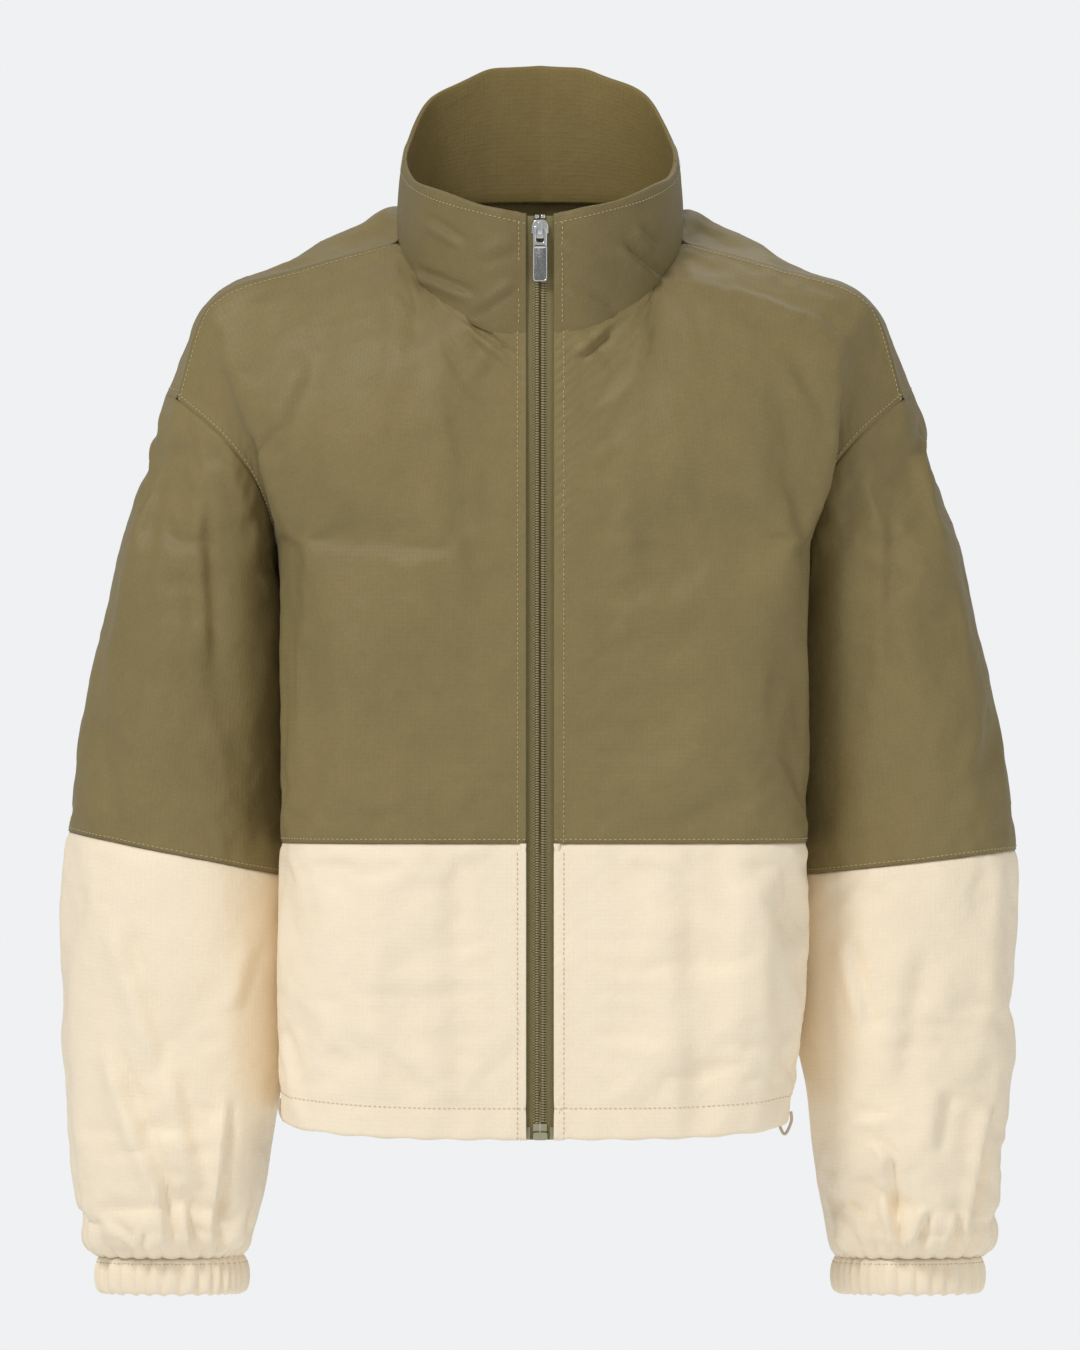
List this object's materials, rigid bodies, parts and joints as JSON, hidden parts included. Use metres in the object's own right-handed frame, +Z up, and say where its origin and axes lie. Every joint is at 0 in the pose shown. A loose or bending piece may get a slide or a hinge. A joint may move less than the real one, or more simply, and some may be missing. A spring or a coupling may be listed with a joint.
{
  "type": "zip-up jacket",
  "caption": "Loose cropped two-colour jacket with a stand collar, dropped shoulders, full-length zip with a metal pull, full sleeves gathered into elastic cuffs and a drawcord hem.",
  "frame": {"origin": "centre plane of the jacket, level with the two highest points of the shoulders beside the collar, where it rests on its wearer", "axes": "+X to the wearer's left, -Y out of the front, +Z up"},
  "size_m": [0.612, 0.231, 0.791],
  "materials": {
    "olive_cloth": "light plain-weave nylon with a fine ripstop grid, soft sheen",
    "olive_lining": "inside of the olive nylon, duller",
    "cream_cloth": "light plain-weave cream nylon with a fine ripstop grid, soft sheen",
    "zip_tape": "twill-woven olive zip tape",
    "zip_coil": "moulded nylon coil, satin",
    "metal": "tumbled silver zinc casting with a fine hammered panel",
    "clear_plastic": "translucent greenish polymer",
    "elastic": "woven elastic band",
    "cord": "braided beige cord"
  },
  "bodies": {
    "torso": {"left_front_upper_side": "olive_cloth", "left_front_lower_side": "cream_cloth", "left_hem_facing_side": "cream_cloth", "left_pocket_bag": "olive_lining", "left_hem_loop": "cord", "right_front_upper_side": "olive_cloth", "right_front_lower_side": "cream_cloth", "right_hem_facing_side": "cream_cloth", "right_pocket_bag": "olive_lining", "right_hem_loop": "cord", "back_upper": "olive_cloth", "back_lower": "cream_cloth", "hem_facing_back": "cream_cloth", "collar_back": "olive_cloth", "collar_back_facing": "olive_lining", "hem_drawcord": "cord"},
    "left_front": {"left_front_upper_centre": "olive_cloth", "left_front_lower_centre": "cream_cloth", "left_hem_facing_front": "cream_cloth", "left_front_facing": "olive_lining", "left_zip_tape": "zip_tape", "left_zip_coil": "zip_coil", "left_zip_top_stop": "metal", "left_tape_film": "clear_plastic", "left_collar_front": "olive_cloth", "left_collar_front_facing": "olive_lining", "zip_retainer_pin": "clear_plastic", "zip_retainer_box": "clear_plastic"},
    "right_front": {"right_front_upper_centre": "olive_cloth", "right_front_lower_centre": "cream_cloth", "right_hem_facing_front": "cream_cloth", "right_front_facing": "olive_lining", "right_zip_tape": "zip_tape", "right_zip_coil": "zip_coil", "right_zip_top_stop": "metal", "right_tape_film": "clear_plastic", "right_collar_front": "olive_cloth", "right_collar_front_facing": "olive_lining", "zip_insertion_pin": "clear_plastic"},
    "left_sleeve": {"left_sleeve_upper": "olive_cloth", "left_sleeve_lower": "cream_cloth", "left_cuff_casing": "cream_cloth", "left_cuff_elastic": "elastic"},
    "right_sleeve": {"right_sleeve_upper": "olive_cloth", "right_sleeve_lower": "cream_cloth", "right_cuff_casing": "cream_cloth", "right_cuff_elastic": "elastic"},
    "slider": {"zip_slider": "metal", "zip_bail": "metal"},
    "puller": {"zip_puller": "metal"}
  },
  "joints": [
    {"name": "left_front_open", "type": "hinge", "parent": "torso", "child": "left_front", "pos_m": [0.09, -0.113, -0.3], "axis": [0, 0, 1], "range_deg": [0, 60]},
    {"name": "right_front_open", "type": "hinge", "parent": "torso", "child": "right_front", "pos_m": [-0.09, -0.113, -0.3], "axis": [0, 0, -1], "range_deg": [0, 60]},
    {"name": "left_sleeve_raise", "type": "hinge", "parent": "torso", "child": "left_sleeve", "pos_m": [0.243, 0, -0.116], "axis": [0, -1, 0], "range_deg": [0, 60]},
    {"name": "right_sleeve_raise", "type": "hinge", "parent": "torso", "child": "right_sleeve", "pos_m": [-0.243, 0, -0.116], "axis": [0, 1, 0], "range_deg": [0, 60]},
    {"name": "slider_travel", "type": "slide", "parent": "left_front", "child": "slider", "axis": [0, 0, 1], "range_m": [-0.556, 0]},
    {"name": "pull_swing", "type": "hinge", "parent": "slider", "child": "puller", "pos_m": [0, -0.1167, -0.01725], "axis": [-1, 0, 0], "range_deg": [0, 165]}
  ]
}
